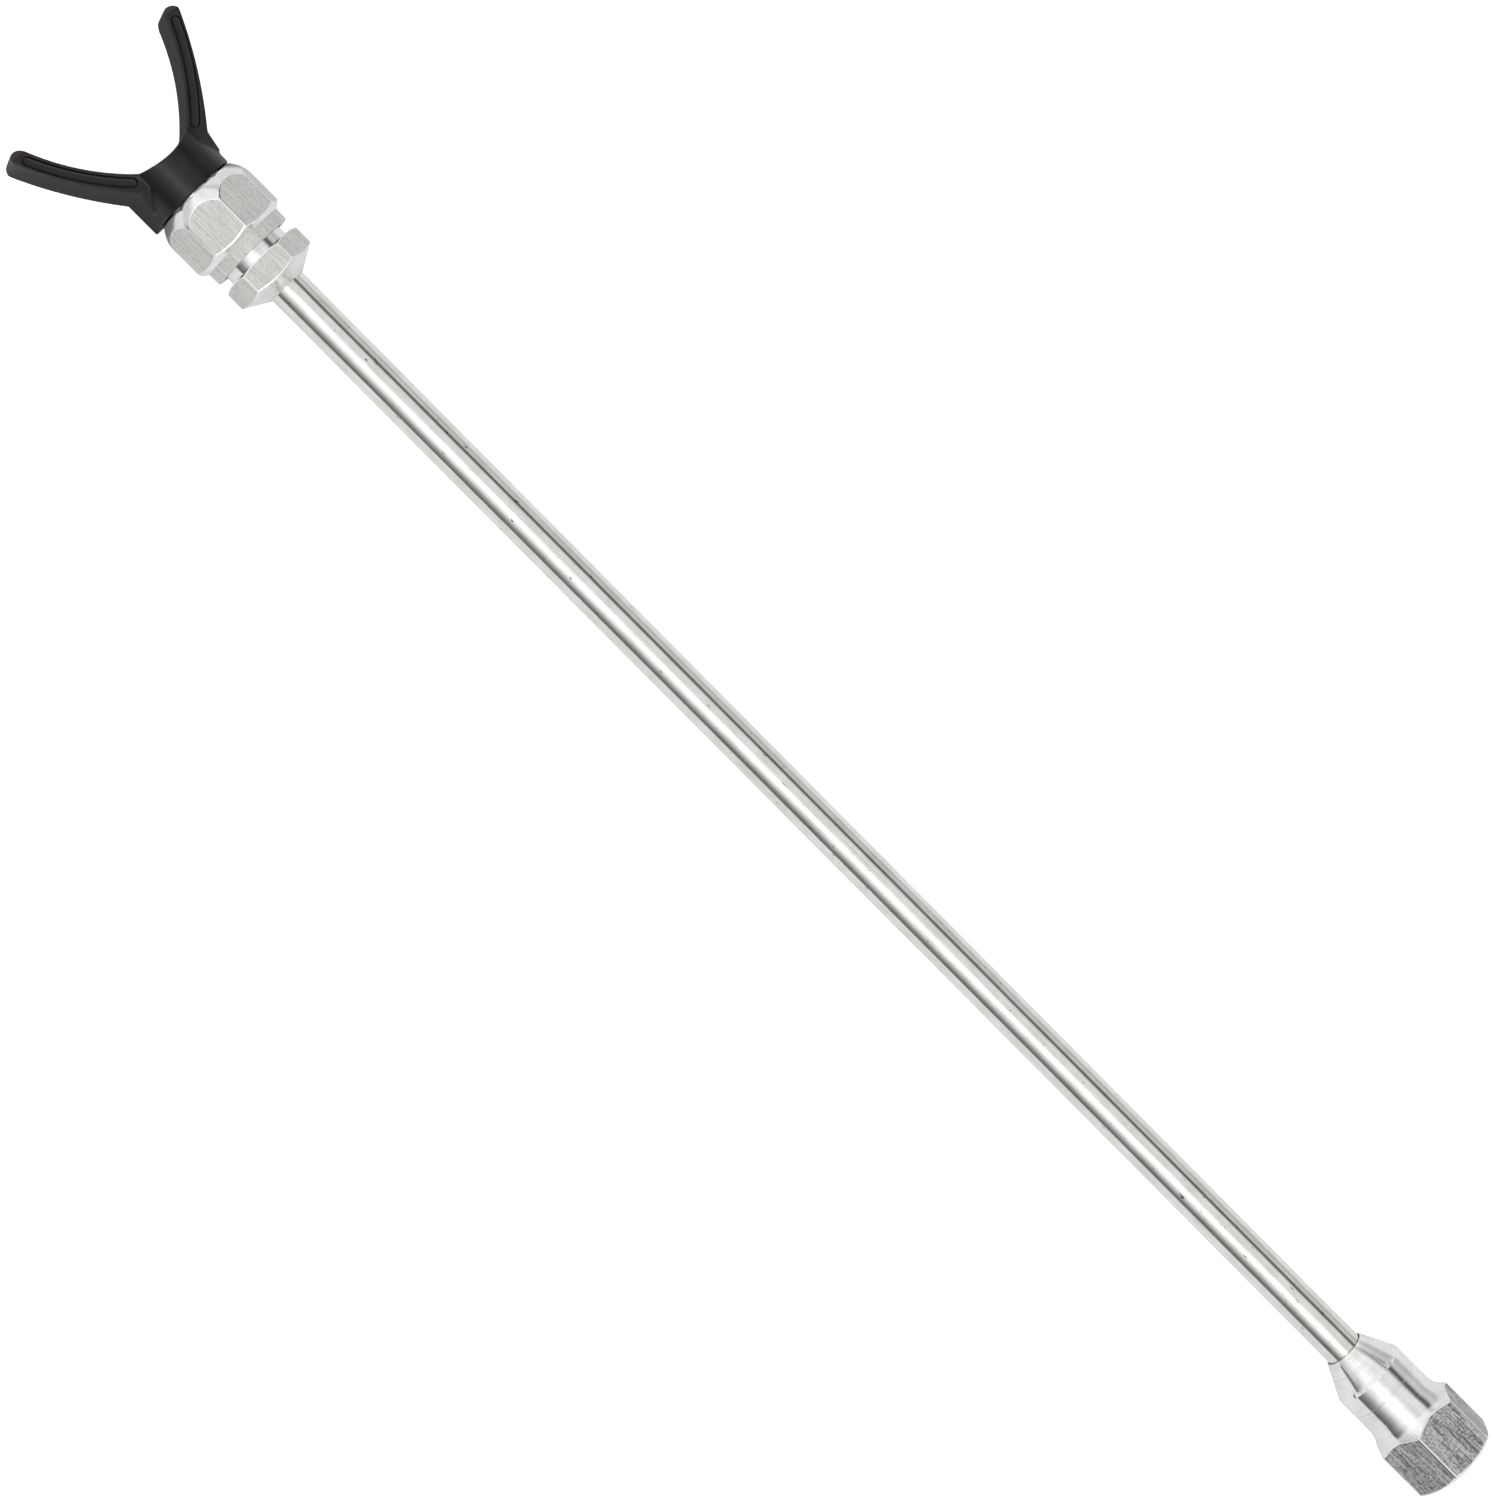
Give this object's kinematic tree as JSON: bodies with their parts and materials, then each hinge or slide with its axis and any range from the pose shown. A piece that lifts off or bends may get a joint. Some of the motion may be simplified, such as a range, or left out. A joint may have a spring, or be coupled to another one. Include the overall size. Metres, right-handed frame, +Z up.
{
  "type": "airless spray extension pole",
  "caption": "Metal spray gun extension pole with a swivel hexagon coupling nut and a fork-shaped black tip guard on an eight-sided nut.",
  "frame": {"origin": "centre of the mouth of the threaded socket in the coupling nut, on the pole's axis", "axes": "+X along the pole towards the tip guard, +Z up, and the wings of the guard spread along Y"},
  "size_m": [0.5718, 0.0666, 0.0324],
  "materials": {
    "tube_metal": "satin",
    "machined_aluminium": "polished",
    "guard_plastic": "soft sheen",
    "seal_nylon": "satin",
    "o_ring_rubber": "matte",
    "seat_steel": "ground"
  },
  "bodies": {
    "pole": {"tube": "tube_metal", "tail_nipple": "machined_aluminium", "tail_o_ring": "o_ring_rubber", "coupling_gasket": "seal_nylon", "swivel_wire": "seat_steel", "front_fitting": "machined_aluminium", "front_o_ring": "o_ring_rubber"},
    "coupling": {"coupling_nut": "machined_aluminium"},
    "seat": {"tip_seat": "seat_steel", "seat_o_ring": "o_ring_rubber", "seat_seal": "seal_nylon"},
    "nut": {"guard_nut": "machined_aluminium"},
    "guard": {"guard_housing": "machined_aluminium", "tip_guard": "guard_plastic"}
  },
  "joints": [
    {"name": "coupling_spin", "type": "hinge", "parent": "pole", "child": "coupling", "pos_m": [0.032, 0, 0], "axis": [1, 0, 0], "continuous": true},
    {"name": "guard_unscrew", "type": "slide", "parent": "pole", "child": "seat", "axis": [1, 0, 0], "range_m": [0, 0.01088]},
    {"name": "nut_turn", "type": "hinge", "parent": "seat", "child": "nut", "pos_m": [0.5166, 0, 0], "axis": [1, 0, 0], "range_deg": [0, 2160]},
    {"name": "guard_swivel", "type": "hinge", "parent": "seat", "child": "guard", "pos_m": [0.5346, 0, 0], "axis": [1, 0, 0], "continuous": true}
  ],
  "couplings": [
    {"joint": "nut_turn", "follows": "guard_unscrew", "rad_per_m": 3463.2}
  ]
}
